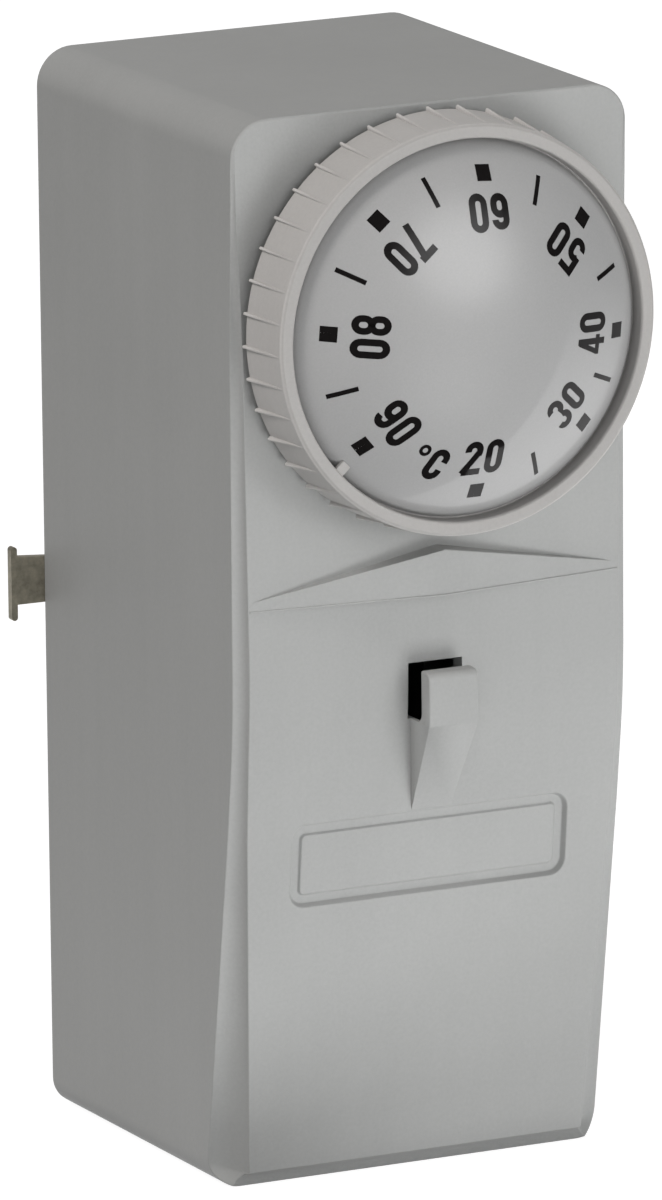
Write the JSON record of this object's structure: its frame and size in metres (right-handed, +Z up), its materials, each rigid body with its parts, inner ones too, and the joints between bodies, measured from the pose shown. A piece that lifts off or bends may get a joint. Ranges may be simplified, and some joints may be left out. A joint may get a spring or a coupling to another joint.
{
  "type": "contact thermostat",
  "caption": "Strap-on pipe thermostat in a deep grey housing, with a ribbed knob round a domed temperature dial, a raised index mark, a hook and side lugs for the strap.",
  "frame": {"origin": "on the flat foot, under the middle of the whole object", "axes": "+Z up along the pipe, -Y out of the dial, +X to the right when the dial is faced"},
  "size_m": [0.0526, 0.0648, 0.1134],
  "materials": {
    "housing_grey": "fine satin",
    "base_grey": "matt",
    "dial_silver": "smooth gloss",
    "zinc_steel": "dull zinc plated",
    "screw_steel": "bright",
    "contact_copper": "dull",
    "spring_steel": "satin",
    "brass_parts": "satin",
    "black_plastic": "matt",
    "red_plastic": "gloss",
    "ceramic_white": "smooth",
    "grommet_rubber": "matt"
  },
  "bodies": {
    "housing": {"cover": "housing_grey", "base": "base_grey", "strap_bracket": "zinc_steel", "bracket_screws": "screw_steel", "contact_plate": "contact_copper", "sensing_bulb": "contact_copper", "bulb_spring": "spring_steel", "capillary": "contact_copper", "expansion_capsule": "brass_parts", "capsule_nut": "brass_parts", "mechanism_frame": "zinc_steel", "frame_screws": "screw_steel", "spindle_bush": "brass_parts", "bush_nut": "brass_parts", "range_spring": "spring_steel", "lever_pin": "screw_steel", "switch_body": "black_plastic", "switch_screws": "screw_steel", "switch_terminals": "brass_parts", "terminal_screws": "screw_steel", "earth_terminal": "brass_parts", "earth_screw": "screw_steel", "cable_clamp": "black_plastic", "clamp_screws": "screw_steel", "cable_grommet": "grommet_rubber", "cover_screws": "screw_steel"},
    "knob": {"knob": "housing_grey", "dial_disc": "dial_silver", "knob_clip": "spring_steel", "spindle": "screw_steel"},
    "range_nut": {"range_nut": "brass_parts"},
    "lever": {"lever": "zinc_steel"},
    "push_pin": {"push_pin": "ceramic_white"},
    "switch_button": {"switch_button": "red_plastic"}
  },
  "joints": [
    {"name": "knob_turn", "type": "hinge", "parent": "housing", "child": "knob", "pos_m": [0, -0.0185, 0.09115], "axis": [0, 1, 0], "range_deg": [0, 309]},
    {"name": "nut_slide", "type": "slide", "parent": "housing", "child": "range_nut", "axis": [0, 1, 0], "range_m": [0, 0.00172], "deforming": ["range_spring"]},
    {"name": "lever_swing", "type": "hinge", "parent": "housing", "child": "lever", "pos_m": [0, 0.0095, 0.09935], "axis": [-1, 0, 0], "range_deg": [0, 2]},
    {"name": "pin_slide", "type": "slide", "parent": "housing", "child": "push_pin", "axis": [0, -1, 0], "range_m": [0, 0.0004]},
    {"name": "button_slide", "type": "slide", "parent": "housing", "child": "switch_button", "axis": [0, -1, 0], "range_m": [0, 0.001]}
  ],
  "couplings": [
    {"joint": "nut_slide", "follows": "knob_turn", "m_per_rad": 0.00031831},
    {"joint": "pin_slide", "follows": "lever_swing", "m_per_rad": 0.0082},
    {"joint": "button_slide", "follows": "lever_swing", "m_per_rad": 0.02455}
  ]
}
